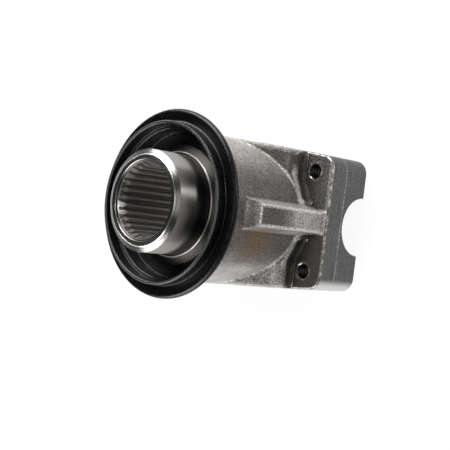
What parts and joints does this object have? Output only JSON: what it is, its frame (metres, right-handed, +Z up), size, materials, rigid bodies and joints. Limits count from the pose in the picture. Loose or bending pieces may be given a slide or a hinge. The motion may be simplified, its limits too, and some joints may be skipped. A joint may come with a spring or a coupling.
{
  "type": "pinion yoke",
  "caption": "Forged steel pinion yoke with half-round cup seats between machined ears, strap bolt holes, an internally splined hub and a black stamped dust slinger.",
  "frame": {"origin": "on the bore axis, level with the ear tips, which is also the centre of the bottom of the bounding box", "axes": "+X through the two cup seats, from ear to ear; +Y along the ear faces, across the bolt holes; +Z up the splined bore from the ears to the nose"},
  "size_m": [0.09, 0.0888, 0.1054],
  "materials": {
    "forged_steel": "shot-blasted forging with machined and ground faces",
    "black_coat": "satin black coat on stamped steel"
  },
  "bodies": {
    "root": {"yoke": "forged_steel", "dust_slinger": "black_coat"}
  },
  "joints": []
}
